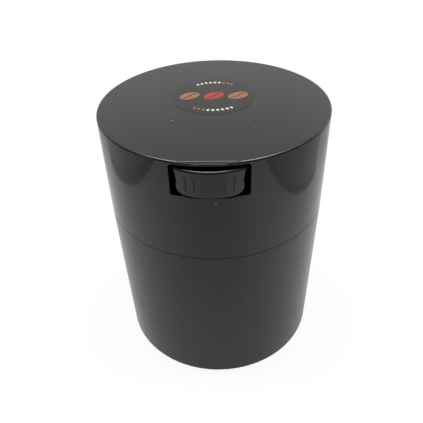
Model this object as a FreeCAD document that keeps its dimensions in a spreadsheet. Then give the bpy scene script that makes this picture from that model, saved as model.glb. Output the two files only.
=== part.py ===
import FreeCAD, Part
import math
import os
import re
import Sketcher

Vector = FreeCAD.Vector

# Driving dimensions, in millimetres but for counts and degrees: alias, value, what it measures
DIMENSIONS = [
    ("lid_top_radius", 60.0, "outside radius of the lid at its top"),
    ("skirt_radius", 60.2, "outside radius of lid and base at the seam between them"),
    ("foot_radius", 58.7, "outside radius of the base at its foot"),
    ("base_height", 94.5, "foot to seam"),
    ("lid_height", 54.3, "seam to lid top"),
    ("seam_round", 0.3, "round on the edges at the seam"),
    ("base_wall", 3.7, "wall of the base at its floor"),
    ("neck_wall", 1.7, "wall of the neck at its rim"),
    ("neck_clearance", 0.3, "neck to lid skirt"),
    ("floor_thick", 2.4, "floor of the base"),
    ("floor_round", 3.0, "inside round between floor and wall"),
    ("foot_height", 1.0, "height of the foot ring under the floor"),
    ("foot_width", 3.4, "width of the foot ring"),
    ("foot_round", 0.9, "round on the outer edge of the foot"),
    ("rim_round", 0.6, "round on the rim of the neck"),
    ("lid_wall", 1.9, "wall of the lid skirt"),
    ("lid_top_thick", 1.4, "top plate of the lid"),
    ("lid_edge_round", 1.0, "round on the top edge of the lid"),
    ("window_width", 35.8, "button window, across"),
    ("window_height", 16.4, "button window, upright"),
    ("window_drop", 0.1, "underside of the lid top to upper edge of the window"),
    ("window_round", 1.8, "corner of the window"),
    ("window_edge_round", 0.3, "round on the outer edge of the window"),
    ("ledge_depth", 2.2, "lowered ledge over the window, inward along the lid top"),
    ("ledge_drop", 1.0, "lowered ledge over the window, down at the lid's edge"),
    ("rib_count", 6, "stop ribs inside the lid"),
    ("rib_thick", 1.6, "stop rib, thickness"),
    ("rib_depth", 3.0, "stop rib, inward from the skirt"),
    ("rib_free_angle", 60, "degrees around the button that hold no rib"),
    ("nub_depth", 0.55, "snap nub, inward from the skirt"),
    ("nub_height", 1.6, "snap nub, upright"),
    ("nub_width", 8.0, "snap nub, along the skirt"),
    ("nub_gap", 0.1, "snap nub to the flange it holds"),
    ("sill_height", 1.9, "inner lid flange to lower edge of the window"),
    ("flange_thick", 2.0, "flange of the inner lid"),
    ("flange_clearance", 0.15, "flange of the inner lid to lid skirt"),
    ("rim_gap", 2.6, "rim of the neck to the flange above it"),
    ("pan_depth", 16.6, "inner lid, flange top to underside"),
    ("pan_wall", 2.0, "side wall of the inner lid"),
    ("pan_floor_thick", 2.2, "floor of the inner lid"),
    ("pan_gap", 1.25, "seal flanges of the inner lid to the bore of the base"),
    ("groove_depth", 1.8, "seal groove, inward"),
    ("groove_width", 6.0, "seal groove, upright"),
    ("groove_lip", 1.4, "flange on each side of the seal groove"),
    ("seal_clearance", 0.05, "seal to the groove it lies in"),
    ("seal_thick", 1.2, "strip of the seal"),
    ("seal_lip_thick", 0.8, "root of a seal lip"),
    ("seal_lip_rise", 0.9, "how far a seal lip slants upwards"),
    ("seal_tip_thick", 0.45, "tip of a seal lip"),
    ("seal_tip_gap", 0.25, "tip of a seal lip to the bore of the base"),
    ("valve_offset", 20.0, "valve axis in front of the lid axis"),
    ("port_radius", 4.0, "air port through the inner lid"),
    ("seat_radius", 5.6, "outside of the valve seat"),
    ("seat_height", 1.2, "valve seat above the pan floor"),
    ("plug_radius", 6.6, "rubber plug, disc"),
    ("plug_edge", 1.2, "rubber plug, thickness at the edge of the disc"),
    ("plug_thick", 2.2, "rubber plug, thickness of the disc at its hub"),
    ("hub_radius", 4.4, "rubber plug, hub"),
    ("hub_height", 5.4, "rubber plug, seat to top of the hub"),
    ("stem_radius", 2.5, "valve stem"),
    ("knob_radius", 3.2, "knob on the stem that holds the plug"),
    ("knob_height", 1.4, "knob on the stem, upright"),
    ("knob_floor", 1.5, "rubber under the knob"),
    ("waist_radius", 1.9, "stem between knob and shoulder"),
    ("waist_height", 1.3, "stem between knob and shoulder, upright"),
    ("stem_chamfer", 0.5, "chamfer on the top of the stem"),
    ("stem_gap", 0.3, "lifted stem to the lid above it"),
    ("valve_lift", 2.5, "rise of the valve over the full press"),
    ("wing_length", 16.0, "cross bar of the stem, along"),
    ("wing_width", 4.0, "cross bar of the stem, across"),
    ("wing_gap", 0.05, "cross bar to the ramp under it"),
    ("wing_clearance", 0.6, "low edge of the cross bar to the slider plate"),
    ("collar_radius", 4.9, "spring seat on the stem"),
    ("collar_thick", 1.0, "spring seat on the stem, upright"),
    ("guide_clearance", 0.2, "stem to its guide under the lid"),
    ("guide_wall", 0.8, "wall of the stem guide"),
    ("guide_gap", 0.6, "lifted collar to the stem guide"),
    ("spring_wire", 0.7, "wire diameter of the valve spring"),
    ("spring_clearance", 0.3, "valve spring to stem guide"),
    ("spring_end_gap", 0.1, "valve spring to the seat at each end"),
    ("spring_turns", 5, "turns of the valve spring"),
    ("button_stroke", 4.0, "travel of the button"),
    ("button_bow_radius", 30.0, "radius of the button's bowed front"),
    ("button_proud", 1.2, "button front beyond the lid"),
    ("button_thick", 2.4, "front plate of the button"),
    ("button_top_width", 32.6, "front plate at its upper edge"),
    ("button_low_width", 30.8, "front plate below its waist"),
    ("button_waist_step", 0.4, "step in each flank of the front plate at its waist"),
    ("button_waist_rise", 6.8, "lower edge of the front plate to its waist"),
    ("button_top_gap", 2.1, "front plate to upper edge of the window"),
    ("button_low_gap", 0.4, "front plate to lower edge of the window"),
    ("button_corner", 4.2, "lower corners of the front plate"),
    ("button_edge_round", 1.1, "round on the edges of the front plate"),
    ("grip_count", 7, "grip ribs on the button"),
    ("grip_pitch", 3.8, "grip ribs, spacing"),
    ("grip_width", 1.5, "grip rib, across"),
    ("grip_height", 7.2, "grip rib, upright"),
    ("grip_rise", 2.7, "lower edge of the front plate to the grip ribs"),
    ("grip_proud", 0.5, "grip rib beyond the front plate"),
    ("grip_round", 0.25, "round on the edges of a grip rib"),
    ("slider_rise", 0.5, "lower edge of the window to the slider plate"),
    ("slider_thick", 2.0, "slider plate behind the button"),
    ("slider_width", 23.0, "slider plate, across"),
    ("stop_length", 2.4, "stop lug at the tail of each prong, along"),
    ("stop_gap", 0.3, "stop lug to the end of the guide wall"),
    ("slider_clearance", 0.2, "slider plate to its guide walls"),
    ("fork_gap", 7.0, "gap between the prongs of the slider plate"),
    ("fork_clearance", 0.8, "stem to the root of the fork at full press"),
    ("ramp_width", 4.0, "ramp on each prong, across"),
    ("ramp_over", 0.6, "ramp beyond the cross bar at full press"),
    ("channel_wall", 1.5, "guide wall beside the slider plate"),
    ("channel_ledge", 2.8, "ledge under each edge of the slider plate"),
    ("channel_tail", 13.0, "guide walls behind the valve axis"),
    ("channel_gap", 0.6, "guide walls to the wall of the inner lid"),
    ("label_radius", 22.0, "round label on the lid"),
    ("label_thick", 0.2, "label, thickness"),
    ("label_offset", 7.5, "label centre behind the lid axis"),
    ("overrun", 5.0, "how far cuts reach past what they cut"),
]

# Where the seal's two lips start, as shares of the groove's width
SEAL_LIP_SHARES = (0.12, 0.56)

# Corners of the ledge over the window, as shares of its depth and its drop: the bevelled step down from the
# lid top, the ledge itself and its bevelled front, of which the last corner lies outside the lid
LEDGE_SHARES = ((1.0, 0.0), (0.945, 0.06), (0.885, 0.36), (0.34, 0.42), (0.18, 0.68), (-0.2, 1.46))

# Two places closer than this count as one
SAME_PLACE = 1e-4

# Points on each turn of the spring at which its gap is measured
POINTS_PER_TURN = 32

ALIAS = re.compile(r"\b(" + "|".join(name for name, _, _ in DIMENSIONS) + r")\b")

# Heights and radii that several pieces share, written as formulas of the driving dimensions
LID_TOP = "(base_height + lid_height)"
LID_UNDER = f"({LID_TOP} - lid_top_thick)"
WINDOW_TOP = f"({LID_UNDER} - window_drop)"
WINDOW_LOW = f"({WINDOW_TOP} - window_height)"
FLANGE_TOP = f"({WINDOW_LOW} - sill_height)"
FLANGE_LOW = f"({FLANGE_TOP} - flange_thick)"
RIM = f"({FLANGE_LOW} - rim_gap)"
FLOOR = "(foot_height + floor_thick)"
PAN_LOW = f"({FLANGE_TOP} - pan_depth)"
PAN_FLOOR = f"({PAN_LOW} + pan_floor_thick)"
GROOVE_LOW = f"({PAN_LOW} + groove_lip)"
GROOVE_TOP = f"({GROOVE_LOW} + groove_width)"
SEAT_TOP = f"({PAN_FLOOR} + seat_height)"
SLIDER_LOW = f"({WINDOW_LOW} + slider_rise)"
SLIDER_TOP = f"({SLIDER_LOW} + slider_thick)"
SLOPE = "(valve_lift / button_stroke)"
WING_LOW = f"({SLIDER_TOP} + wing_clearance)"
WING_HIGH = f"({WING_LOW} + {SLOPE} * wing_width)"
WING_TOP = f"({WING_LOW} + {SLOPE} * (wing_width / 2 + collar_radius))"
COLLAR_TOP = f"({WING_TOP} + collar_thick)"
STEM_TOP = f"({LID_UNDER} - valve_lift - stem_gap)"
GUIDE_LOW = f"({COLLAR_TOP} + valve_lift + guide_gap)"
GUIDE_BORE = "(stem_radius + guide_clearance)"
KNOB_LOW = f"({SEAT_TOP} + knob_floor)"
KNOB_TOP = f"({KNOB_LOW} + knob_height)"
WAIST_TOP = f"({KNOB_TOP} + waist_height)"
BUTTON_LOW = f"({WINDOW_LOW} + button_low_gap)"
BUTTON_TOP = f"({WINDOW_TOP} - button_top_gap)"
BUTTON_WAIST = f"({BUTTON_LOW} + button_waist_rise)"
BOW_CENTRE = "(button_bow_radius - button_proud - lid_top_radius)"


def lid_outside(height):
    """Outside radius of the tapering lid skirt at a height."""
    return f"(skirt_radius - (skirt_radius - lid_top_radius) * ({height} - base_height) / lid_height)"


def lid_bore(height):
    """Inside radius of the tapering lid skirt at a height."""
    return f"({lid_outside(height)} - lid_wall)"


# The neck never widens upwards, so that a lid that flares can still be drawn off it
NECK_LOW_RADIUS = f"({lid_bore('base_height')} - neck_clearance)"
NECK_RIM_RADIUS = f"min({NECK_LOW_RADIUS}; {lid_bore(RIM)} - neck_clearance)"
MOUTH_RADIUS = f"({NECK_RIM_RADIUS} - neck_wall)"
FLOOR_RADIUS = "(foot_radius - base_wall)"
FLANGE_RADIUS = f"({lid_bore(FLANGE_TOP)} - flange_clearance)"
GROOVE_RADIUS = f"({MOUTH_RADIUS} - pan_gap)"
PAN_RADIUS = f"({GROOVE_RADIUS} - groove_depth)"
PAN_INSIDE = f"({PAN_RADIUS} - pan_wall)"
SEAL_TIP_RADIUS = f"({MOUTH_RADIUS} - seal_tip_gap)"
CHANNEL_SIDE = "(slider_width / 2 + slider_clearance)"
CHANNEL_INNER = "(slider_width / 2 - channel_ledge)"
CHANNEL_OUTER = f"({CHANNEL_SIDE} + channel_wall)"
RIB_START = "(rib_free_angle / 2 - 90)"
RIB_STEP = "((360 - rib_free_angle) / (rib_count - 1))"

document = FreeCAD.newDocument("coffee_canister")
sheet = document.addObject("Spreadsheet::Sheet", "Sizes")


def fill_sheet():
    for row, (alias, size, meaning) in enumerate(DIMENSIONS, start=1):
        sheet.set(f"A{row}", alias)
        sheet.set(f"B{row}", str(size))
        sheet.set(f"C{row}", meaning)
        sheet.setAlias(f"B{row}", alias)
    document.recompute()


def cells(formula):
    """A formula of plain aliases as an expression that reads the sheet."""
    return ALIAS.sub(r"Sizes.\1", formula)


def size(formula):
    return float(sheet.evalExpression(cells(formula)))


def bind(thing, prop, formula):
    thing.setExpression(prop, cells(formula))


def new_body(label):
    body = document.addObject("PartDesign::Body", label)
    body.Label = label
    return body


def origin_part(body, role):
    return next(feature for feature in body.Origin.OriginFeatures if feature.Role == role)


def new_sketch(body, name, plane, offset):
    """An empty sketch on one of the body's own planes, moved along the plane's normal by offset."""
    sketch = body.newObject("Sketcher::SketchObject", name)
    sketch.AttachmentSupport = [(origin_part(body, plane), "")]
    sketch.MapMode = "FlatFace"
    if offset:
        bind(sketch, "AttachmentOffset.Base.z", offset)
    return sketch


def constrain(sketch, formula, *reference):
    """Add a dimension of the sketch and bind it to the sheet."""
    kind, *places = reference
    index = sketch.addConstraint(Sketcher.Constraint(kind, *places, size(formula)))
    sketch.renameConstraint(index, f"size{index}")
    bind(sketch, f"Constraints.size{index}", formula)


def place(sketch, line, end, axis, formula):
    """Fix one coordinate of a point: on the axis where it is zero, else by a dimension from the origin."""
    if formula == "0":
        axis_line = -2 if axis == "X" else -1
        sketch.addConstraint(Sketcher.Constraint("PointOnObject", line, end, axis_line))
    elif size(formula) > 0:
        constrain(sketch, formula, f"Distance{axis}", -1, 1, line, end)
    else:
        constrain(sketch, f"-({formula})", f"Distance{axis}", line, end, -1, 1)


def arc_point(across, centre, radius):
    """The point of an arc's lower half at a distance across from the axis that its centre lies on."""
    return Vector(across, centre - math.sqrt(radius**2 - across**2), 0)


def add_loop(sketch, corners):
    """Draw a closed loop. A corner is (x, y), or (x, bow) for an end of an arc.

    A bow is (centre, radius): an arc about a point of the Y axis. Two corners in a row with the
    same bow are joined by that arc, other neighbours by a straight line.
    """
    points = []
    for x, y in corners:
        if isinstance(y, tuple):
            points.append(arc_point(size(x), size(y[0]), size(y[1])))
        else:
            points.append(Vector(size(x), size(y), 0))
    first = sketch.GeometryCount
    count = len(corners)
    starts = []
    ends = []
    for index in range(count):
        bow = corners[index][1]
        after = (index + 1) % count
        if isinstance(bow, tuple) and bow == corners[after][1]:
            centre = Vector(0, size(bow[0]), 0)
            circle = Part.Circle(centre, Vector(0, 0, 1), size(bow[1]))
            forward = points[index].x < points[after].x
            low, high = (points[index], points[after]) if forward else (points[after], points[index])
            sketch.addGeometry(Part.ArcOfCircle(circle, circle.parameter(low), circle.parameter(high)))
            starts.append(1 if forward else 2)
            ends.append(2 if forward else 1)
        else:
            sketch.addGeometry(Part.LineSegment(points[index], points[after]))
            starts.append(1)
            ends.append(2)
    for index in range(count):
        after = (index + 1) % count
        joint = Sketcher.Constraint("Coincident", first + index, ends[index], first + after, starts[after])
        sketch.addConstraint(joint)
    for index, (x, y) in enumerate(corners):
        line = first + index
        place(sketch, line, starts[index], "X", x)
        if not isinstance(y, tuple):
            place(sketch, line, starts[index], "Y", y)
        elif y == corners[(index + 1) % count][1]:
            place(sketch, line, 3, "X", "0")
            place(sketch, line, 3, "Y", y[0])
            constrain(sketch, y[1], "Radius", line)


def outline(body, name, plane, loops, offset=None):
    sketch = new_sketch(body, name, plane, offset)
    for corners in loops:
        add_loop(sketch, corners)
    document.recompute()
    return sketch


def discs(body, name, radii, offset):
    """A sketch of circles about the valve axis, at a height: one circle, or two for a ring."""
    sketch = new_sketch(body, name, "XY_Plane", offset)
    middle = Vector(0, size("-valve_offset"), 0)
    for index, radius in enumerate(radii):
        sketch.addGeometry(Part.Circle(middle, Vector(0, 0, 1), size(radius)))
        place(sketch, index, 3, "X", "0")
        place(sketch, index, 3, "Y", "-valve_offset")
        constrain(sketch, radius, "Radius", index)
    document.recompute()
    return sketch


def revolve(body, name, corners):
    """Turn a profile of (radius, height) corners about the body's upright axis."""
    sketch = outline(body, name + "_profile", "XZ_Plane", [corners])
    feature = body.newObject("PartDesign::Revolution", name)
    feature.Profile = sketch
    feature.ReferenceAxis = (sketch, ["V_Axis"])
    feature.Angle = 360
    document.recompute()
    return feature


def pad(body, name, sketch, length, both_ways=False):
    feature = body.newObject("PartDesign::Pad", name)
    feature.Profile = sketch
    feature.SideType = "Symmetric" if both_ways else "One side"
    bind(feature, "Length", length)
    document.recompute()
    return feature


def cut_through(body, name, sketch, reverse=False):
    """Cut a sketch right through what lies on one side of it, and make sure that it removes something."""
    before = body.Tip.Shape.Volume
    feature = body.newObject("PartDesign::Pocket", name)
    feature.Profile = sketch
    feature.Type = "ThroughAll"
    feature.Reversed = reverse
    document.recompute()
    if feature.Shape.Volume >= before:
        raise RuntimeError(f"{name} cuts nothing")
    return feature


def cut_across(body, name, sketch, width):
    """Cut a sketch to both sides of its plane, over a width in all."""
    feature = body.newObject("PartDesign::Pocket", name)
    feature.Profile = sketch
    feature.SideType = "Symmetric"
    bind(feature, "Length", width)
    document.recompute()
    return feature


def pattern_round(body, feature, name, count, angle):
    copies = body.newObject("PartDesign::PolarPattern", name)
    copies.Originals = [feature]
    copies.Axis = (origin_part(body, "Z_Axis"), [""])
    bind(copies, "Angle", angle)
    bind(copies, "Occurrences", count)
    body.Tip = copies
    document.recompute()
    return copies


def mirror_across(body, feature, name):
    copy = body.newObject("PartDesign::Mirrored", name)
    copy.Originals = [feature]
    copy.MirrorPlane = (origin_part(body, "YZ_Plane"), [""])
    body.Tip = copy
    document.recompute()
    return copy


def round_edges(body, name, radius, wanted):
    """Round the edges of the body's last feature for which wanted(edge) is true."""
    base = body.Tip
    edges = [f"Edge{i}" for i, edge in enumerate(base.Shape.Edges, start=1) if wanted(edge)]
    if not edges:
        raise RuntimeError(f"{name} finds no edge")
    feature = body.newObject("PartDesign::Fillet", name)
    feature.Base = (base, edges)
    bind(feature, "Radius", radius)
    document.recompute()
    return feature


def near(first, second):
    return abs(first - second) < SAME_PLACE


def circle_at(radius, height):
    """A test for the level circle of this radius at this height, about the body's axis."""
    def wanted(edge):
        if not isinstance(edge.Curve, Part.Circle):
            return False
        return near(edge.Curve.Radius, size(radius)) and near(edge.Curve.Center.z, size(height))
    return wanted


def crosswise_at(half_width, heights):
    """A test for the edges that run along Y, at either side, at one of these heights."""
    def wanted(edge):
        places = [vertex.Point for vertex in edge.Vertexes]
        at_side = all(near(abs(point.x), size(half_width)) for point in places)
        along = len(places) == 2 and near(places[0].x, places[1].x)
        return at_side and along and any(
            all(near(point.z, size(height)) for point in places) for height in heights
        )
    return wanted


def on_bow(radius):
    """A test for the edges that lie on the upright cylinder of this radius about the bow's centre."""
    centre = Vector(0, size(BOW_CENTRE), 0)

    def wanted(edge):
        points = edge.discretize(5)
        return all(near(math.hypot(point.x, point.y - centre.y), size(radius)) for point in points)
    return wanted


def on_window_rim(edge):
    """True for the edges of the window on the outside of the lid skirt."""
    low = size(WINDOW_LOW) - SAME_PLACE
    top = size(WINDOW_TOP) + SAME_PLACE
    points = edge.discretize(5)
    in_window = all(low < point.z < top for point in points)
    return in_window and all(
        near(math.hypot(point.x, point.y), size(lid_outside(point.z))) for point in points
    )


def make_base_cup():
    """The canister itself: foot ring, floor, thick wall, shoulder and the neck that the lid slides over."""
    body = new_body("base_cup")
    revolve(body, "cup_wall", [
        ("0", "foot_height"),
        ("foot_radius - foot_width", "foot_height"),
        ("foot_radius - foot_width", "0"),
        ("foot_radius", "0"),
        ("skirt_radius", "base_height"),
        (NECK_LOW_RADIUS, "base_height"),
        (NECK_RIM_RADIUS, RIM),
        (MOUTH_RADIUS, RIM),
        (MOUTH_RADIUS, "base_height"),
        (FLOOR_RADIUS, FLOOR),
        ("0", FLOOR),
    ])
    round_edges(body, "foot_edge", "foot_round", circle_at("foot_radius", "0"))
    round_edges(body, "shoulder_edge", "seam_round", circle_at("skirt_radius", "base_height"))
    round_edges(body, "rim_outer_edge", "rim_round", circle_at(NECK_RIM_RADIUS, RIM))
    round_edges(body, "rim_inner_edge", "rim_round", circle_at(MOUTH_RADIUS, RIM))
    round_edges(body, "floor_corner", "floor_round", circle_at(FLOOR_RADIUS, FLOOR))
    return body


def add_half_plane(body, name, corners, thickness, angle):
    """Pad a profile of (radius, height) corners on the half plane that stands at an angle round the axis."""
    sketch = outline(body, name + "_profile", "XZ_Plane", [corners])
    upright = FreeCAD.Rotation(Vector(0, 1, 0), size(angle))
    sketch.AttachmentOffset = FreeCAD.Placement(Vector(), upright)
    bind(sketch, "AttachmentOffset.Rotation.Angle", angle)
    document.recompute()
    return pad(body, name, sketch, thickness, both_ways=True)


def add_stop_ribs(body):
    """Upright ribs under the top plate that the inner lid's flange stands against."""
    top = f"({LID_UNDER} + lid_top_thick / 2)"
    rib = add_half_plane(body, "stop_rib", [
        (f"{lid_bore(FLANGE_TOP)} - rib_depth", FLANGE_TOP),
        (f"{lid_bore(FLANGE_TOP)} + lid_wall / 2", FLANGE_TOP),
        (f"{lid_bore(top)} + lid_wall / 2", top),
        (f"{lid_bore(top)} - rib_depth", top),
    ], "rib_thick", RIB_START)
    pattern_round(body, rib, "stop_ribs", "rib_count", "360 - rib_free_angle")


def add_snap_nubs(body):
    """Wedges between the ribs that snap under the inner lid's flange."""
    inside = lid_bore(FLANGE_LOW)
    top = f"{FLANGE_LOW} - nub_gap"
    nub = add_half_plane(body, "snap_nub", [
        (f"{inside}", f"{top} - nub_height"),
        (f"{inside} + lid_wall / 2", f"{top} - nub_height"),
        (f"{inside} + lid_wall / 2", top),
        (f"{inside} - nub_depth", top),
    ], "nub_width", f"{RIB_START} + {RIB_STEP} / 2")
    pattern_round(body, nub, "snap_nubs", "rib_count - 1", f"{RIB_STEP} * (rib_count - 2)")


def cut_ledge(body):
    """Lower the edge of the lid top over the window by a straight step, so that a thumb gets at the button."""
    corners = [
        (f"ledge_depth * ({inward}) - lid_top_radius", f"{LID_TOP} - ledge_drop * {down}")
        for inward, down in LEDGE_SHARES
    ]
    outside = "-(lid_top_radius + overrun)"
    above = f"{LID_TOP} + overrun"
    corners += [(outside, corners[-1][1]), (outside, above), (corners[0][0], above)]
    cut_across(body, "ledge", outline(body, "ledge_outline", "YZ_Plane", [corners]), "window_width")


def make_lid_shell():
    """The outer lid: skirt, top plate, button window, stop ribs, snap nubs and the guide of the stem."""
    body = new_body("lid_shell")
    revolve(body, "lid_wall", [
        ("0", LID_UNDER),
        (lid_bore(LID_UNDER), LID_UNDER),
        (lid_bore("base_height"), "base_height"),
        ("skirt_radius", "base_height"),
        ("lid_top_radius", LID_TOP),
        ("0", LID_TOP),
    ])
    round_edges(body, "top_edge", "lid_edge_round", circle_at("lid_top_radius", LID_TOP))
    round_edges(body, "skirt_edge", "seam_round", circle_at("skirt_radius", "base_height"))
    round_edges(body, "skirt_inner_edge", "seam_round", circle_at(lid_bore("base_height"), "base_height"))
    half_window = "(window_width / 2)"
    window = outline(body, "window_outline", "XZ_Plane", [[
        (f"-{half_window}", WINDOW_LOW),
        (half_window, WINDOW_LOW),
        (half_window, WINDOW_TOP),
        (f"-{half_window}", WINDOW_TOP),
    ]])
    cut_through(body, "window", window, reverse=True)
    corners = crosswise_at(half_window, [WINDOW_LOW, WINDOW_TOP])
    round_edges(body, "window_corners", "window_round", corners)
    round_edges(body, "window_edge", "window_edge_round", on_window_rim)
    cut_ledge(body)
    add_stop_ribs(body)
    add_snap_nubs(body)
    guide = discs(body, "guide_ring", [GUIDE_BORE, f"{GUIDE_BORE} + guide_wall"], GUIDE_LOW)
    pad(body, "stem_guide", guide, f"{LID_UNDER} - {GUIDE_LOW}")
    return body


def side_walls(body, name, inner, outer, low, top):
    """A pair of upright walls along the button's travel, one at each side."""
    front = f"(channel_gap - sqrt({PAN_INSIDE} ^ 2 - {CHANNEL_OUTER} ^ 2))"
    back = "(channel_tail - valve_offset)"
    loops = []
    for side in ("", "-"):
        loops.append([
            (f"{side}{inner}", front),
            (f"{side}{outer}", front),
            (f"{side}{outer}", back),
            (f"{side}{inner}", back),
        ])
    walls = outline(body, name + "_plan", "XY_Plane", loops, low)
    return pad(body, name, walls, f"{top} - {low}")


def make_inner_lid():
    """The pan inside the lid: flange, seal groove, air port with its seat, and the button's channel."""
    body = new_body("inner_lid")
    revolve(body, "pan", [
        ("0", PAN_LOW),
        (GROOVE_RADIUS, PAN_LOW),
        (GROOVE_RADIUS, GROOVE_LOW),
        (PAN_RADIUS, GROOVE_LOW),
        (PAN_RADIUS, GROOVE_TOP),
        (GROOVE_RADIUS, GROOVE_TOP),
        (GROOVE_RADIUS, f"{GROOVE_TOP} + groove_lip"),
        (PAN_RADIUS, f"{GROOVE_TOP} + groove_lip"),
        (PAN_RADIUS, FLANGE_LOW),
        (FLANGE_RADIUS, FLANGE_LOW),
        (FLANGE_RADIUS, FLANGE_TOP),
        (PAN_INSIDE, FLANGE_TOP),
        (PAN_INSIDE, PAN_FLOOR),
        ("0", PAN_FLOOR),
    ])
    pad(body, "valve_seat", discs(body, "seat_plan", ["seat_radius"], PAN_FLOOR), "seat_height")
    cut_through(body, "air_port", discs(body, "port_plan", ["port_radius"], SEAT_TOP))
    side_walls(body, "channel_ledges", CHANNEL_INNER, CHANNEL_OUTER, PAN_FLOOR, SLIDER_LOW)
    side_walls(body, "channel_guides", CHANNEL_SIDE, CHANNEL_OUTER, SLIDER_LOW, SLIDER_TOP)
    return body


def make_lid_seal():
    """A soft ring in the groove of the inner lid, with two thin lips that slant up towards the bore."""
    body = new_body("lid_seal")
    inside = f"({PAN_RADIUS} + seal_clearance)"
    strip = f"({inside} + seal_thick)"
    corners = [(inside, f"{GROOVE_LOW} + seal_clearance"), (strip, f"{GROOVE_LOW} + seal_clearance")]
    for share in SEAL_LIP_SHARES:
        root = f"({GROOVE_LOW} + {share} * groove_width)"
        corners.append((strip, root))
        corners.append((SEAL_TIP_RADIUS, f"{root} + seal_lip_rise"))
        corners.append((SEAL_TIP_RADIUS, f"{root} + seal_lip_rise + seal_tip_thick"))
        corners.append((strip, f"{root} + seal_lip_thick"))
    corners.append((strip, f"{GROOVE_TOP} - seal_clearance"))
    corners.append((inside, f"{GROOVE_TOP} - seal_clearance"))
    revolve(body, "seal_ring", corners)
    return body


def make_button():
    """The push button: bowed front plate with grip ribs, and the forked slider with two ramps."""
    body = new_body("release_button")
    front = (BOW_CENTRE, "button_bow_radius")
    back = (BOW_CENTRE, "button_bow_radius - button_thick")
    half_top = "(button_top_width / 2)"
    half_low = "(button_low_width / 2)"
    plate = outline(body, "plate_plan", "XY_Plane", [[
        (f"-{half_top}", front),
        (half_top, front),
        (half_top, back),
        (f"-{half_top}", back),
    ]], BUTTON_LOW)
    pad(body, "front_plate", plate, f"{BUTTON_TOP} - {BUTTON_LOW}")
    flanks = []
    for side in ("", "-"):
        flanks.append([
            (f"{side}{half_top}", BUTTON_TOP),
            (f"{side}({half_low} - button_waist_step)", BUTTON_WAIST),
            (f"{side}{half_low}", f"{BUTTON_WAIST} - button_waist_step"),
            (f"{side}{half_low}", f"{BUTTON_LOW} - overrun"),
            (f"{side}({half_top} + overrun)", f"{BUTTON_LOW} - overrun"),
            (f"{side}({half_top} + overrun)", BUTTON_TOP),
        ])
    cut_through(body, "flanks", outline(body, "flank_outline", "XZ_Plane", flanks), reverse=True)
    round_edges(body, "low_corners", "button_corner", crosswise_at(half_low, [BUTTON_LOW]))
    round_edges(body, "front_edges", "button_edge_round", on_bow("button_bow_radius"))
    add_grip_ribs(body)
    add_slider(body)
    return body


def add_grip_ribs(body):
    """A row of upright ribs on the front plate."""
    ribs = []
    for index in range(int(size("grip_count"))):
        middle = f"({index} - (grip_count - 1) / 2) * grip_pitch"
        outer = (BOW_CENTRE, "button_bow_radius + grip_proud")
        inner = (BOW_CENTRE, "button_bow_radius - button_thick / 2")
        ribs.append([
            (f"({middle} - grip_width / 2)", outer),
            (f"({middle} + grip_width / 2)", outer),
            (f"({middle} + grip_width / 2)", inner),
            (f"({middle} - grip_width / 2)", inner),
        ])
    plan = outline(body, "grip_plan", "XY_Plane", ribs, f"{BUTTON_LOW} + grip_rise")
    pad(body, "grip_ribs", plan, "grip_height")
    round_edges(body, "grip_edges", "grip_round", on_bow("button_bow_radius + grip_proud"))


def add_slider(body):
    """The plate behind the button that forks round the valve stem.

    Each prong carries a ramp, and a lug at its tail that stops the button from coming out of its channel.
    """
    half = "(slider_width / 2)"
    gap = "(fork_gap / 2)"
    lug = "(channel_tail - valve_offset + stop_gap)"
    tail = f"({lug} + stop_length)"
    root = "(-valve_offset - button_stroke - stem_radius - fork_clearance)"
    front = (BOW_CENTRE, "button_bow_radius - button_thick / 2")
    fork = outline(body, "slider_plan", "XY_Plane", [[
        (f"-{half}", front),
        (half, front),
        (half, lug),
        (CHANNEL_OUTER, lug),
        (CHANNEL_OUTER, tail),
        (gap, tail),
        (gap, root),
        (f"-{gap}", root),
        (f"-{gap}", tail),
        (f"-{CHANNEL_OUTER}", tail),
        (f"-{CHANNEL_OUTER}", lug),
        (f"-{half}", lug),
    ]], SLIDER_LOW)
    pad(body, "slider", fork, "slider_thick")
    wing_back = "(wing_width / 2 - valve_offset)"
    toe = f"({wing_back} + (wing_clearance - wing_gap) / {SLOPE})"
    crest = "(-wing_width / 2 - valve_offset - button_stroke - ramp_over)"
    crest_height = f"({WING_LOW} - wing_gap + {SLOPE} * ({wing_back} - {crest}))"
    profile = [(toe, SLIDER_TOP), (crest, crest_height), (crest, SLIDER_TOP)]
    ramp = pad(body, "ramp", outline(body, "ramp_profile", "YZ_Plane", [profile], gap), "ramp_width")
    mirror_across(body, ramp, "ramps")


def make_valve_stem():
    """The stem that lifts the plug: knob, waist, cross bar that rides on the ramps, and spring collar."""
    body = new_body("valve_stem")
    bind(body, "Placement.Base.y", "-valve_offset")
    revolve(body, "rod", [
        ("0", KNOB_LOW),
        ("knob_radius", KNOB_LOW),
        ("knob_radius", KNOB_TOP),
        ("waist_radius", KNOB_TOP),
        ("waist_radius", WAIST_TOP),
        ("stem_radius", WAIST_TOP),
        ("stem_radius", WING_TOP),
        ("collar_radius", WING_TOP),
        ("collar_radius", COLLAR_TOP),
        ("stem_radius", COLLAR_TOP),
        ("stem_radius", f"{STEM_TOP} - stem_chamfer"),
        ("stem_radius - stem_chamfer", STEM_TOP),
        ("0", STEM_TOP),
    ])
    wing = outline(body, "wing_profile", "YZ_Plane", [[
        ("-wing_width / 2", WING_HIGH),
        ("wing_width / 2", WING_LOW),
        ("wing_width / 2", WING_TOP),
        ("-wing_width / 2", WING_TOP),
    ]])
    pad(body, "wing", wing, "wing_length", both_ways=True)
    return body


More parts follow.
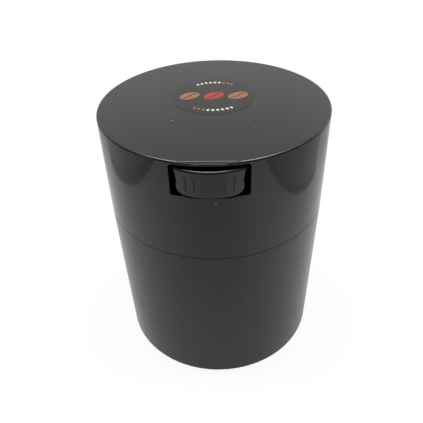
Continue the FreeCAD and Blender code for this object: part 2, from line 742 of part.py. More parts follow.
def make_valve_plug():
    """The rubber plug that closes the air port, drawn over the knob of the stem."""
    body = new_body("valve_plug")
    bind(body, "Placement.Base.y", "-valve_offset")
    hub_top = f"({SEAT_TOP} + hub_height)"
    revolve(body, "plug", [
        ("0", SEAT_TOP),
        ("plug_radius", SEAT_TOP),
        ("plug_radius", f"{SEAT_TOP} + plug_edge"),
        ("hub_radius", f"{SEAT_TOP} + plug_thick"),
        ("hub_radius", hub_top),
        ("stem_radius", hub_top),
        ("stem_radius", WAIST_TOP),
        ("waist_radius", WAIST_TOP),
        ("waist_radius", KNOB_TOP),
        ("knob_radius", KNOB_TOP),
        ("knob_radius", KNOB_LOW),
        ("0", KNOB_LOW),
    ])
    return body


def biarc(start, start_way, end, end_way):
    """Two arcs that leave start along start_way, meet smoothly and reach end along end_way."""
    chord = end - start
    ways = start_way + end_way
    bend = 2 * (1 - start_way.dot(end_way))
    reach = (math.sqrt(chord.dot(ways) ** 2 + bend * chord.dot(chord)) - chord.dot(ways)) / bend
    first_knee = start + start_way * reach
    second_knee = end - end_way * reach
    middle = (first_knee + second_knee) / 2
    return [arc_by_knee(start, first_knee, middle), arc_by_knee(middle, second_knee, end)]


def arc_by_knee(start, knee, end):
    """The arc from start to end whose end tangents meet at the knee."""
    half_chord = (end - start) / 2
    base = start + half_chord
    half_angle = math.atan2((knee - base).Length, half_chord.Length)
    crown = base + (knee - base).normalize() * (half_chord.Length * math.tan(half_angle / 2))
    return Part.Arc(start, crown, end).toShape()


def make_valve_spring():
    """A coil of round wire between the collar of the stem and the top plate, round the stem guide."""
    wire = size("spring_wire")
    radius = size(f"{GUIDE_BORE} + guide_wall + spring_clearance + spring_wire / 2")
    low = size(f"{COLLAR_TOP} + spring_end_gap + spring_wire / 2")
    top = size(f"{LID_UNDER} - spring_end_gap - spring_wire / 2")
    turns = size("spring_turns")
    rise = (top - low) / (2 * math.pi * turns)
    quarters = int(4 * turns)

    def place_at(angle):
        return Vector(radius * math.cos(angle), radius * math.sin(angle), low + rise * angle)

    def way_at(angle):
        return Vector(-radius * math.sin(angle), radius * math.cos(angle), rise).normalize()

    edges = []
    for quarter in range(quarters):
        angles = (quarter * math.pi / 2, (quarter + 1) * math.pi / 2)
        edges += biarc(place_at(angles[0]), way_at(angles[0]), place_at(angles[1]), way_at(angles[1]))
    section = Part.Wire(Part.Circle(place_at(0), way_at(0), wire / 2).toShape())
    coil = document.addObject("Part::Feature", "valve_spring")
    coil.Label = "valve_spring"
    coil.Shape = Part.Wire(edges).makePipeShell([section], True, False)
    coil.Placement = FreeCAD.Placement(Vector(0, size("-valve_offset"), 0), FreeCAD.Rotation())
    print(f"valve_spring: least gap between turns {least_gap(place_at, turns) - wire:.2f} mm")
    return coil


def least_gap(place_at, turns):
    """The least distance between points of a coil that lie half a turn or more apart."""
    count = int(POINTS_PER_TURN * turns) + 1
    points = [place_at(step * 2 * math.pi / POINTS_PER_TURN) for step in range(count)]
    pairs = ((i, j) for i in range(count) for j in range(i + POINTS_PER_TURN // 2, count))
    return min((points[i] - points[j]).Length for i, j in pairs)


def make_top_label():
    """A round label on the lid."""
    label = document.addObject("Part::Cylinder", "top_label")
    label.Label = "top_label"
    bind(label, "Radius", "label_radius")
    bind(label, "Height", "label_thick")
    bind(label, "Placement.Base.y", "label_offset")
    bind(label, "Placement.Base.z", LID_TOP)
    return label


def check_and_write(nodes):
    document.recompute()
    for thing in document.Objects:
        if "Invalid" in thing.State or "Error" in thing.State:
            raise RuntimeError(f"{thing.Label} failed: {thing.State}")
    for node in nodes:
        if node.Shape.isNull() or not node.Shape.isValid():
            raise RuntimeError(f"{node.Label} has no valid shape")
    os.makedirs("parts", exist_ok=True)
    for node in nodes:
        node.Shape.exportStep(f"parts/{node.Label}.step")
        print(f"{node.Label}: {len(node.Shape.Solids)} solid, {node.Shape.Volume:.1f} mm3")


fill_sheet()
check_and_write([
    make_base_cup(),
    make_lid_shell(),
    make_inner_lid(),
    make_lid_seal(),
    make_button(),
    make_valve_stem(),
    make_valve_plug(),
    make_valve_spring(),
    make_top_label(),
])
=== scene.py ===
import math

import bmesh
import bpy
from mathutils import Matrix, Vector


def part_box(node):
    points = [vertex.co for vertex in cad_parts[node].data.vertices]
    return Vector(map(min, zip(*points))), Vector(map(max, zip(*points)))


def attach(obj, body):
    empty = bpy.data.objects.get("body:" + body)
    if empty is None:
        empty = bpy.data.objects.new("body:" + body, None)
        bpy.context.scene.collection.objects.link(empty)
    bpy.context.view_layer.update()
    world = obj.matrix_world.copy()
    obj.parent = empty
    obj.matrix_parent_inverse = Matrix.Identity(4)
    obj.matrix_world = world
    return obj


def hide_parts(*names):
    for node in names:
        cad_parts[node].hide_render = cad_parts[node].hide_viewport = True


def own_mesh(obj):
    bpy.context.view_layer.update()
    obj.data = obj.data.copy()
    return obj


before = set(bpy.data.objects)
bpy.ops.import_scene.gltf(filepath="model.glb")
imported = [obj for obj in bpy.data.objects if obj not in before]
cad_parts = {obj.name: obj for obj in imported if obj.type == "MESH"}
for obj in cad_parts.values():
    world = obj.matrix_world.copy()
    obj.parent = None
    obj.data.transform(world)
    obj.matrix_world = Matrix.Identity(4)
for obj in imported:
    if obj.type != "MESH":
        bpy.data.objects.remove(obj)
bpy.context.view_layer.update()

# Metres in a millimetre, and how near counts as the same place when points merge and when ends are ground
MM = 0.001
MERGE_REACH = 0.001 * MM
GRIND_REACH = 0.0001 * MM

# How straight up or down a flat face looks, which edges stay smooth, and how finely a rim is rounded
FACING = 0.99
SMOOTH_ANGLE = math.radians(40)
RIM_SEGMENTS = 3

# The photograph's camera: metres and degrees, and millimetres for its sensor and lens
CAMERA_PLACE = (0.01047, -0.23046, 0.2559)
CAMERA_DOWN = 37.76
CAMERA_PAN = 3.39
CAMERA_ROLL = -2.20
CAMERA_SENSOR = 36.0
CAMERA_LENS = 40.82
CAMERA_NEAR = 0.005

# The studio's walls, where level 1 is white: to the camera, on matt surfaces and, a little warmer, in gloss
WHITE = (1, 1, 1, 1)
WALL_WHITE = 1.0
WALL_ON_MATT = 0.12
WALL_IN_GLOSS = 0.76
WALL_WARM = (1.02, 1.0, 0.975, 1)

# What gloss adds to that level, over spans of a ray's direction: brighter sides, ceiling and overhead strip
WALL_RIGHT_GAIN = 0.2
WALL_RIGHT_SPAN = (0.05, 0.35)
WALL_LEFT_GAIN = 0.06
WALL_LEFT_SPAN = (-0.05, -0.4)
CEILING_GAIN = 2.4
CEILING_SPAN = (0.66, 0.9)
STRIP_GAIN = 10.5
STRIP_BACK_SPAN = (0.35, 0.05)
STRIP_END_SPAN = (0.6, 0.4)

# The room ahead of the canister is dim; in gloss it reaches up to a slanting edge
ROOM_LEVEL = 0.1
ROOM_SLANT = 0.5
ROOM_EDGE = 0.33
ROOM_BLUR = 0.22

# The floor's paper, and the white over it: its level and cover to the camera, its tone and cover in gloss,
# where it glows as a painted reflection
FLOOR_COLOUR = (0.9, 0.9, 0.9, 1)
FLOOR_WHITE = 1.03
FLOOR_WHITE_SHARE = 0.89
FLOOR_WARM = (1.0, 1.0, 0.955, 1)
FLOOR_PAINTED_REFLECTION_SHARE = 0.85

# The white floor's painted reflection levels in gloss ahead and at each side, and its shares far ahead, where
# it is painted shade, and behind, over metres
FLOOR_AHEAD = 0.66
FLOOR_LEFT = 0.82
FLOOR_LEFT_SPAN = (-0.03, -0.17)
FLOOR_RIGHT = 0.88
FLOOR_RIGHT_SPAN = (0.03, 0.15)
FLOOR_FAR_PAINTED_SHADE = 0.8
FLOOR_FAR_SPAN = (-0.15, -0.32)
FLOOR_BACK_SHARE = 0.72
FLOOR_BACK_SPAN = (0.08, 0.18)

# A white sheet lies on the floor, in metres; the floor's painted reflection in gloss has darker gaps beside
# it, darkest in the sheet's painted shade
SHEET_LEFT = -0.232
SHEET_RIGHT = 0.214
SHEET_EDGE = 0.005
SHEET_GAP_FRONT = -0.205
SHEET_GAP_BACK = -0.123
SHEET_GAP_BACK_EDGE = 0.015
SHEET_GAP_SLANT = 0.9
SHEET_GAP_FADE = (0.42, 0.31)
SHEET_GAP_SHARE = 0.61
SHEET_PAINTED_SHADE_LEFT = 0.03
SHEET_PAINTED_SHADE_RIGHT = 0.014
SHEET_PAINTED_SHADE_SHARE = 0.75
SHEET_REACH = (0.38, 0.6)

# The floor's width in metres, and how far it lies under the foot, in millimetres
FLOOR_SIZE = 20.0
FLOOR_DROP = 0.1

# The softbox overhead, in metres and watts
SOFTBOX_PLACE = (0, 0.1, 1.7)
SOFTBOX_WIDTH = 1.8
SOFTBOX_LENGTH = 0.4
SOFTBOX_WATTS = 32.0

# Colours of the canister's finishes
MOULDED_BLACK = (0.0048, 0.0098, 0.0090, 1)
BUTTON_BLACK = (0.0115, 0.0160, 0.0160, 1)
INNER_BLACK = (0.011, 0.011, 0.0115, 1)
SCUFF_GREY = (0.05, 0.05, 0.048, 1)
DUST_GREY = (0.30, 0.293, 0.272, 1)
SEAL_GREY = (0.045, 0.045, 0.047, 1)
PLUG_GREY = (0.035, 0.035, 0.036, 1)
ACETAL_WHITE = (0.74, 0.73, 0.69, 1)
ACETAL_SHADE = (0.66, 0.64, 0.58, 1)
STEEL_GREY = (0.6, 0.6, 0.58, 1)
STEEL_DULL = (0.42, 0.41, 0.39, 1)
LABEL_BLACK = (0.0040, 0.0042, 0.0042, 1)
INK_TAN = (0.30, 0.130, 0.055, 1)
INK_RED = (0.36, 0.026, 0.012, 1)
INK_WHITE = (0.72, 0.72, 0.70, 1)

# Dust: the least size of a speck and its solid core, as shares; noise: the level in its middle
SPECK_LEAST = 0.25
SPECK_CORE = 0.5
NOISE_MIDDLE = 0.5

# Black mouldings: how much of the wear shows, how deep hairlines cut, and how far each effect dulls gloss
WEAR_SHOWN = 0.5
HAIRLINE_DEPTH = 0.5
HAIRLINE_DULL = 0.12
WEAR_DULL = 0.2
DUST_DULL = 0.5

# Rubber: how much paler its clouds are, and how much duller or glossier
CLOUD_GAIN = 1.5
CLOUD_DULL = 0.07

# The label and its print, in millimetres and degrees
LABEL_RISE = 0.12
LABEL_EDGE = 0.05
LABEL_RIM = 0.05
LABEL_SIDES = 180
INK_RISE = 0.015
CREASE_RISE = 0.025
BEAN_LENGTH = 11.4
BEAN_WIDTH = 7.6
BEAN_TILT = 32
BEAN_PITCH = 12.8
BEAN_SIDES = 48
CREASE_WIDTH = 0.85
CREASE_BEND = 4.0
CREASE_SPAN = 70
CREASE_STEPS = 16
ROW_RADIUS = 17.2
ROW_WHITE = 6
ROW_TAN = 3
ROW_STEP = 8.2
LOZENGE_LENGTH = 2.6
LOZENGE_WIDTH = 1.8
LOZENGE_SIDES = 4

# The valve spring, in millimetres, the share of it kept when squeezed, and how finely its wire is drawn
SPRING_WIRE = 0.7
SPRING_TURNS = 5
SPRING_END_PITCH = 0.76
SPRING_GROUND = 0.14
SPRING_POINTS = 20
WIRE_ORDER = 4
WIRE_STEPS = 3
WIRE_ROUNDNESS = 4

# The moulding gate under the base, in millimetres
GATE_UNDERSIDE = 1.0
GATE_RADIUS = 1.7
GATE_DROP = 0.35
GATE_EDGE = 0.12
GATE_SIDES = 40


def place_camera():
    bpy.ops.object.camera_add(location=CAMERA_PLACE)
    camera = bpy.context.object
    camera.name = "photo_camera"
    turn = Matrix.Rotation(math.radians(CAMERA_PAN), 4, "Z")
    tilt = Matrix.Rotation(math.radians(90 - CAMERA_DOWN), 4, "X")
    roll = Matrix.Rotation(math.radians(CAMERA_ROLL), 4, "Z")
    camera.matrix_world = Matrix.Translation(CAMERA_PLACE) @ turn @ tilt @ roll
    camera.data.sensor_width = CAMERA_SENSOR
    camera.data.lens = CAMERA_LENS
    camera.data.clip_start = CAMERA_NEAR
    bpy.context.scene.camera = camera


# Nodes

def feed(tree, target, source):
    """Link a socket to an input, or set the input to a plain value."""
    if isinstance(source, bpy.types.NodeSocket):
        tree.links.new(source, target)
    else:
        target.default_value = source


def node(tree, kind, **inputs):
    made = tree.nodes.new(kind)
    for name, source in inputs.items():
        feed(tree, made.inputs[name.replace("_", " ")], source)
    return made


def calc(tree, operation, first, second=0.0):
    made = tree.nodes.new("ShaderNodeMath")
    made.operation = operation
    feed(tree, made.inputs[0], first)
    feed(tree, made.inputs[1], second)
    return made.outputs["Value"]


def gather(tree, operation, parts):
    """One value from several, by the same operation on each in turn."""
    total = parts[0]
    for part in parts[1:]:
        total = calc(tree, operation, total, part)
    return total


def step(tree, value, start, stop, low=0.0, high=1.0):
    """A smooth step from low to high as a value goes from start to stop."""
    made = node(tree, "ShaderNodeMapRange", Value=value, From_Min=start, From_Max=stop)
    feed(tree, made.inputs["To Min"], low)
    feed(tree, made.inputs["To Max"], high)
    made.interpolation_type = "SMOOTHSTEP"
    return made.outputs["Result"]


def between(tree, mask, low, high):
    """A value that goes from low to high as a mask goes from 0 to 1."""
    return step(tree, mask, 0.0, 1.0, low, high)


def blend(tree, share, first, second):
    """A colour that goes from first to second as share goes from 0 to 1."""
    made = tree.nodes.new("ShaderNodeMix")
    made.data_type = "RGBA"
    sockets = {socket.identifier: socket for socket in made.inputs}
    feed(tree, sockets["Factor_Float"], share)
    feed(tree, sockets["A_Color"], first)
    feed(tree, sockets["B_Color"], second)
    return next(socket for socket in made.outputs if socket.identifier == "Result_Color")


def surface_place(tree):
    return node(tree, "ShaderNodeTexCoord").outputs["Object"]


def noise(tree, place, scale, detail):
    return node(tree, "ShaderNodeTexNoise", Vector=place, Scale=scale, Detail=detail).outputs["Fac"]


# Effects that several finishes share

def start_group(name, inputs, output):
    group = bpy.data.node_groups.new(name, "ShaderNodeTree")
    for label, value in inputs.items():
        socket = group.interface.new_socket(label, in_out="INPUT", socket_type="NodeSocketFloat")
        socket.default_value = value
    group.interface.new_socket(output, in_out="OUTPUT", socket_type="NodeSocketFloat")
    given = group.nodes.new("NodeGroupInput").outputs
    result = group.nodes.new("NodeGroupOutput").inputs[output]
    return group, given, result


def make_dust():
    """Sparse pale specks: some cells of a grid hold one, each of its own size."""
    group, given, result = start_group("dust_specks", {"Cells": 160, "Size": 0.06, "Share": 0.3}, "Dust")
    cells = node(group, "ShaderNodeTexVoronoi", Vector=surface_place(group), Scale=given["Cells"])
    random = node(group, "ShaderNodeSeparateColor", Color=cells.outputs["Color"]).outputs
    present = calc(group, "LESS_THAN", random["Red"], given["Share"])
    growth = calc(group, "ADD", random["Green"], SPECK_LEAST)
    radius = calc(group, "MULTIPLY", given["Size"], growth)
    core = calc(group, "MULTIPLY", radius, SPECK_CORE)
    speck = step(group, cells.outputs["Distance"], radius, core)
    feed(group, result, calc(group, "MULTIPLY", speck, present))
    return group


def make_smears():
    """Soft patches where hands and cloths have dulled the gloss."""
    group, given, result = start_group("smears", {"Patches": 22, "Streaks": 120}, "Smear")
    place = surface_place(group)
    clouds = noise(group, place, given["Patches"], detail=3.0)
    patches = step(group, clouds, start=0.42, stop=0.68)
    turn = (0.3, 0.2, 0.7)
    drawn_out = node(group, "ShaderNodeMapping", Vector=place, Rotation=turn, Scale=(0.25, 1, 0.35))
    strokes = noise(group, drawn_out.outputs["Vector"], given["Streaks"], detail=4.0)
    streaks = step(group, strokes, start=0.3, stop=0.7, low=0.45, high=1.0)
    feed(group, result, calc(group, "MULTIPLY", patches, streaks))
    return group


def make_hairlines():
    """Fine scratches that run one way and come and go."""
    group, given, result = start_group("hairlines", {"Turn": 0.0, "Lines": 500, "Share": 0.12}, "Hairline")
    place = surface_place(group)
    turn = node(group, "ShaderNodeCombineXYZ", X=0.4, Y=0.25, Z=given["Turn"]).outputs["Vector"]
    drawn_out = node(group, "ShaderNodeMapping", Vector=place, Rotation=turn, Scale=(0.012, 1.0, 1.0))
    lines = noise(group, drawn_out.outputs["Vector"], given["Lines"], detail=0.0)
    off_line = calc(group, "ABSOLUTE", calc(group, "SUBTRACT", lines, NOISE_MIDDLE))
    thin = step(group, off_line, start=0.022, stop=0.006)
    patches = noise(group, place, scale=45.0, detail=1.0)
    patch_start = calc(group, "SUBTRACT", 0.72, given["Share"])
    shown = step(group, patches, start=patch_start, stop=0.76)
    feed(group, result, calc(group, "MULTIPLY", thin, shown))
    return group


def make_moulded_skin():
    """Height of a moulded skin: a fine grain on long shallow waves."""
    inputs = {"Grain": 2200, "Waves": 70, "Wave Share": 0.5}
    group, given, result = start_group("moulded_skin", inputs, "Height")
    place = surface_place(group)
    grain = noise(group, place, given["Grain"], detail=2.0)
    waves = noise(group, place, given["Waves"], detail=1.0)
    feed(group, result, calc(group, "ADD", grain, calc(group, "MULTIPLY", waves, given["Wave Share"])))
    return group


def make_rim_wear():
    """Wear along a round edge about the upright axis, broken up as handling leaves it."""
    inputs = {"Radius": 0.06, "Height": 0.0, "Reach": 0.001}
    group, given, result = start_group("rim_wear", inputs, "Wear")
    place = surface_place(group)
    parts = node(group, "ShaderNodeSeparateXYZ", Vector=place).outputs
    squares = calc(group, "ADD", calc(group, "POWER", parts["X"], 2.0), calc(group, "POWER", parts["Y"], 2.0))
    outward = calc(group, "SUBTRACT", calc(group, "SQRT", squares), given["Radius"])
    upward = calc(group, "SUBTRACT", parts["Z"], given["Height"])
    spread = calc(group, "ADD", calc(group, "POWER", outward, 2.0), calc(group, "POWER", upward, 2.0))
    near = step(group, calc(group, "SQRT", spread), given["Reach"], 0.0)
    patches = step(group, noise(group, place, scale=90.0, detail=4.0), start=0.48, stop=0.66)
    feed(group, result, calc(group, "MULTIPLY", near, patches))
    return group


EFFECTS = {
    "dust": make_dust(),
    "smears": make_smears(),
    "hairlines": make_hairlines(),
    "skin": make_moulded_skin(),
    "rim": make_rim_wear(),
}


def effect(tree, name, **inputs):
    made = tree.nodes.new("ShaderNodeGroup")
    made.node_tree = EFFECTS[name]
    for label, value in inputs.items():
        made.inputs[label.replace("_", " ")].default_value = value
    return made.outputs[0]


# Finishes

def start_finish(name):
    material = bpy.data.materials.new(name)
    material.use_nodes = True
    return material, material.node_tree, material.node_tree.nodes["Principled BSDF"]


def emboss(tree, shader, height, depth):
    """Give the shader a relief that stands depth millimetres high where height is 1."""
    bump = node(tree, "ShaderNodeBump", Height=height, Distance=depth * MM, Strength=1.0)
    feed(tree, shader.inputs["Normal"], bump.outputs["Normal"])


def worn_rims(tree, rims):
    """Wear along rims, each given by its radius, height and reach in millimetres."""
    return gather(tree, "MAXIMUM", [
        effect(tree, "rim", Radius=radius * MM, Height=height * MM, Reach=reach * MM)
        for radius, height, reach in rims
    ])


def black_moulding(name, black, gloss, smear, depth, skin, dust, rims):
    """Black plastic with a moulded skin, dust, dulled patches, hairlines and worn rims."""
    material, tree, shader = start_finish(name)
    shader.inputs["IOR"].default_value = 1.5
    specks = effect(tree, "dust", **dust)
    dulled = effect(tree, "smears")
    one_way = effect(tree, "hairlines", Turn=0.5)
    other_way = effect(tree, "hairlines", Turn=2.2, Lines=420)
    lines = calc(tree, "MAXIMUM", one_way, other_way)
    worn = worn_rims(tree, rims)
    scuffed = blend(tree, calc(tree, "MULTIPLY", worn, WEAR_SHOWN), black, SCUFF_GREY)
    feed(tree, shader.inputs["Base Color"], blend(tree, specks, scuffed, DUST_GREY))
    roughness = gather(tree, "ADD", [
        calc(tree, "MULTIPLY", dulled, smear),
        calc(tree, "MULTIPLY", lines, HAIRLINE_DULL),
        calc(tree, "MULTIPLY", worn, WEAR_DULL),
        calc(tree, "MULTIPLY", specks, DUST_DULL),
        gloss,
    ])
    feed(tree, shader.inputs["Roughness"], roughness)
    moulded = effect(tree, "skin", **skin)
    relief = calc(tree, "SUBTRACT", moulded, calc(tree, "MULTIPLY", lines, HAIRLINE_DEPTH))
    emboss(tree, shader, relief, depth)
    return material


def lid_gloss():
    return black_moulding(
        "lid_gloss", MOULDED_BLACK, gloss=0.055, smear=0.05, depth=0.0006,
        skin={"Grain": 1500, "Waves": 60, "Wave_Share": 8.0},
        dust={"Cells": 150, "Size": 0.055, "Share": 0.45},
        rims=[(59.6, 148.5, 0.9)],
    )


def button_gloss():
    return black_moulding(
        "button_gloss", BUTTON_BLACK, gloss=0.09, smear=0.1, depth=0.001,
        skin={"Grain": 1800, "Waves": 90, "Wave_Share": 4.0},
        dust={"Cells": 260, "Size": 0.06, "Share": 0.15},
        rims=[(61.6, 145.0, 0.8)],
    )


def base_satin():
    return black_moulding(
        "base_satin", MOULDED_BLACK, gloss=0.2, smear=0.07, depth=0.0025,
        skin={"Grain": 2600, "Waves": 45, "Wave_Share": 3.0},
        dust={"Cells": 130, "Size": 0.055, "Share": 0.5},
        rims=[(58.4, 0.5, 1.6), (57.2, 124.2, 1.2)],
    )


def inner_matt():
    """Plain black moulding inside the lid, with a coarser etched skin."""
    material, tree, shader = start_finish("inner_matt")
    specks = effect(tree, "dust", Cells=200, Size=0.05, Share=0.2)
    feed(tree, shader.inputs["Base Color"], blend(tree, specks, INNER_BLACK, DUST_GREY))
    dulled = effect(tree, "smears", Patches=30)
    feed(tree, shader.inputs["Roughness"], between(tree, dulled, low=0.36, high=0.5))
    emboss(tree, shader, effect(tree, "skin", Grain=1900, Waves=120), depth=0.012)
    return material


def soft_rubber(name, colour, roughness):
    """Silicone rubber, cloudy in tone, which draws more dust than the plastics."""
    material, tree, shader = start_finish(name)
    shader.inputs["IOR"].default_value = 1.42
    shader.inputs["Sheen Weight"].default_value = 0.25
    shader.inputs["Sheen Roughness"].default_value = 0.4
    specks = effect(tree, "dust", Cells=420, Size=0.07, Share=0.4)
    cloud = step(tree, noise(tree, surface_place(tree), scale=160.0, detail=3.0), start=0.3, stop=0.7)
    pale = tuple(CLOUD_GAIN * part for part in colour[:3]) + (1,)
    clouded = blend(tree, cloud, colour, pale)
    feed(tree, shader.inputs["Base Color"], blend(tree, specks, clouded, DUST_GREY))
    dulled = between(tree, cloud, roughness - CLOUD_DULL, roughness + CLOUD_DULL)
    feed(tree, shader.inputs["Roughness"], dulled)
    emboss(tree, shader, effect(tree, "skin", Grain=3000, Waves=200), depth=0.008)
    return material


def acetal():
    """Natural white acetal of the valve stem."""
    material, tree, shader = start_finish("acetal")
    shader.inputs["IOR"].default_value = 1.48
    shader.inputs["Subsurface Weight"].default_value = 0.15
    shader.inputs["Subsurface Radius"].default_value = (0.0008, 0.0006, 0.0004)
    flow = step(tree, noise(tree, surface_place(tree), scale=260.0, detail=3.0), start=0.35, stop=0.7)
    feed(tree, shader.inputs["Base Color"], blend(tree, flow, ACETAL_WHITE, ACETAL_SHADE))
    feed(tree, shader.inputs["Roughness"], between(tree, flow, low=0.28, high=0.42))
    emboss(tree, shader, effect(tree, "skin", Grain=3200, Waves=300), depth=0.004)
    return material


def spring_wire():
    """Drawn stainless wire, dull in patches."""
    material, tree, shader = start_finish("spring_wire")
    shader.inputs["Metallic"].default_value = 1.0
    place = surface_place(tree)
    dull = step(tree, noise(tree, place, scale=900.0, detail=4.0), start=0.4, stop=0.7)
    feed(tree, shader.inputs["Base Color"], blend(tree, dull, STEEL_GREY, STEEL_DULL))
    feed(tree, shader.inputs["Roughness"], between(tree, dull, low=0.2, high=0.38))
    emboss(tree, shader, noise(tree, place, scale=6000.0, detail=2.0), depth=0.004)
    return material


def label_film():
    """Black printed vinyl, a little duller than the lid and not quite flat."""
    material, tree, shader = start_finish("label_film")
    shader.inputs["IOR"].default_value = 1.47
    specks = effect(tree, "dust", Cells=240, Size=0.05, Share=0.2)
    feed(tree, shader.inputs["Base Color"], blend(tree, specks, LABEL_BLACK, DUST_GREY))
    dulled = effect(tree, "smears", Patches=60, Streaks=200)
    feed(tree, shader.inputs["Roughness"], between(tree, dulled, low=0.14, high=0.24))
    emboss(tree, shader, effect(tree, "skin", Grain=1200, Waves=150, Wave_Share=6.0), depth=0.002)
    return material


def ink(name, colour):
    """Print on the label, slightly uneven."""
    material, tree, shader = start_finish(name)
    shader.inputs["IOR"].default_value = 1.44
    place = surface_place(tree)
    cover = noise(tree, place, scale=1400.0, detail=3.0)
    thin = step(tree, cover, start=0.5, stop=0.8, low=0.0, high=0.22)
    feed(tree, shader.inputs["Base Color"], blend(tree, thin, colour, LABEL_BLACK))
    patches = noise(tree, place, scale=300.0, detail=2.0)
    feed(tree, shader.inputs["Roughness"], step(tree, patches, start=0.3, stop=0.7, low=0.2, high=0.3))
    return material


def dress(node_name, material):
    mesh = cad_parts[node_name].data
    mesh.materials.clear()
    mesh.materials.append(material)


# Modelling

def select_only(*pieces):
    bpy.ops.object.select_all(action="DESELECT")
    for piece in pieces:
        piece.select_set(True)
    if pieces:
        bpy.context.view_layer.objects.active = pieces[0]


def start_editing():
    bpy.ops.object.mode_set(mode="EDIT")
    bpy.ops.mesh.select_all(action="SELECT")


def finish_editing():
    """Merge doubles, turn all faces outwards and leave edit mode."""
    bpy.ops.mesh.select_all(action="SELECT")
    bpy.ops.mesh.remove_doubles(threshold=MERGE_REACH)
    bpy.ops.mesh.normals_make_consistent(inside=False)
    bpy.ops.object.mode_set(mode="OBJECT")


def pick_edges(piece, wanted):
    """In edit mode, select just the edges whose ends are all wanted."""
    bpy.ops.mesh.select_mode(type="EDGE")
    mesh = bmesh.from_edit_mesh(piece.data)
    for edge in mesh.edges:
        edge.select_set(all(wanted(vert.co) for vert in edge.verts))
    bmesh.update_edit_mesh(piece.data)


def pick_faces(piece, wanted):
    """In edit mode, select just the wanted faces."""
    bpy.ops.mesh.select_all(action="DESELECT")
    bpy.ops.mesh.select_mode(type="FACE")
    mesh = bmesh.from_edit_mesh(piece.data)
    for face in mesh.faces:
        face.select_set(wanted(face))
    bmesh.update_edit_mesh(piece.data)


def extrude_up(rise):
    bpy.ops.mesh.extrude_region_move(TRANSFORM_OT_translate={"value": (0, 0, rise)})


def settle(piece, name):
    """Name a finished piece and put its place into its mesh."""
    piece.name = name
    piece.data.name = name
    select_only(piece)
    bpy.ops.object.transform_apply(location=True, rotation=True, scale=True)
    return piece


def ride_lid(piece):
    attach(piece, "lid")


def start_disc(place, radius, sides):
    """Add a flat face with so many sides and start to edit it."""
    select_only()
    bpy.ops.mesh.primitive_circle_add(vertices=sides, radius=radius, fill_type="NGON", location=place)
    start_editing()
    return bpy.context.object


def rounded_disc(name, place, radius, sides, rise, edge, rim):
    """A disc that stands or hangs by its rise, with a rounded edge and a narrow rim on its free face."""
    disc = start_disc(place, radius, sides)
    extrude_up(rise)
    way = math.copysign(1, rise)
    pick_edges(disc, lambda point: way * point.z > way * rise / 2)
    bpy.ops.mesh.bevel(offset=edge, segments=RIM_SEGMENTS, affect="EDGES")
    pick_faces(disc, lambda face: way * face.normal.z > FACING)
    bpy.ops.mesh.inset(thickness=rim)
    finish_editing()
    bpy.ops.object.shade_smooth_by_angle(angle=SMOOTH_ANGLE)
    return settle(disc, name)


# The label

def printed_shape(place, sides, length, stretch, finish):
    """A flat shape of ink: a disc with so many sides, drawn in along one axis."""
    shape = start_disc(place, length * MM / 2, sides)
    bpy.ops.transform.resize(value=stretch)
    extrude_up(INK_RISE * MM)
    finish_editing()
    shape.data.materials.append(finish)
    return shape


def printed_bean(place, finish):
    """A coffee bean's outline, filled with ink."""
    bean = printed_shape(place, BEAN_SIDES, BEAN_LENGTH, (1, BEAN_WIDTH / BEAN_LENGTH, 1), finish)
    bean.rotation_euler.z = math.radians(BEAN_TILT)
    return bean


def bean_crease(place, finish):
    """The S in a bean: two arcs that start at its middle and bulge to opposite sides."""
    select_only()
    width = CREASE_WIDTH * MM
    bend = Vector((CREASE_BEND * MM, 0, 0))
    bpy.ops.mesh.primitive_plane_add(size=width, location=place)
    crease = bpy.context.object
    start_editing()
    pick_edges(crease, lambda point: point.y > 0)
    bpy.ops.mesh.delete(type="VERT")
    bpy.ops.mesh.select_all(action="SELECT")
    bpy.ops.transform.translate(value=(0, width / 2, 0))
    for centre in (place + bend, place - bend):
        pick_edges(crease, lambda point: abs(point.y) < MERGE_REACH)
        bpy.ops.mesh.spin(steps=CREASE_STEPS, angle=math.radians(CREASE_SPAN), center=centre, axis=(0, 0, 1))
    bpy.ops.mesh.select_all(action="SELECT")
    extrude_up(CREASE_RISE * MM)
    finish_editing()
    crease.rotation_euler.z = math.radians(BEAN_TILT + CREASE_SPAN / 2 - 90)
    crease.data.materials.append(finish)
    return crease


def printed_row(centre, first, count, finish):
    """Lozenges along the rim of the label, one after another from a first angle on."""
    stretch = (LOZENGE_WIDTH / LOZENGE_LENGTH, 1, 1)
    lozenges = [printed_shape(centre, LOZENGE_SIDES, LOZENGE_LENGTH, stretch, finish)]
    for _ in range(count - 1):
        select_only(lozenges[0])
        bpy.ops.object.duplicate(linked=False)
        lozenges.append(bpy.context.object)
    for index, lozenge in enumerate(lozenges):
        turn = Matrix.Rotation(math.radians(first + index * ROW_STEP - 90), 3, "Z")
        lozenge.location = centre + turn @ Vector((0, ROW_RADIUS * MM, 0))
        lozenge.rotation_euler = turn.to_euler()
    return lozenges


def join_print(pieces, name):
    select_only(*pieces)
    bpy.ops.object.join()
    return settle(bpy.context.object, name)


def printed_rows(centre, tan, white):
    """A row at the upper and one at the lower rim: tan lozenges first, then white ones."""
    half_row = (ROW_TAN + ROW_WHITE - 1) * ROW_STEP / 2
    tans = []
    whites = []
    for middle in (90, 270):
        first = middle - half_row
        tans += printed_row(centre, first, ROW_TAN, tan)
        whites += printed_row(centre, first + ROW_TAN * ROW_STEP, ROW_WHITE, white)
    return [join_print(tans, "print_tan_rows"), join_print(whites, "print_white_rows")]


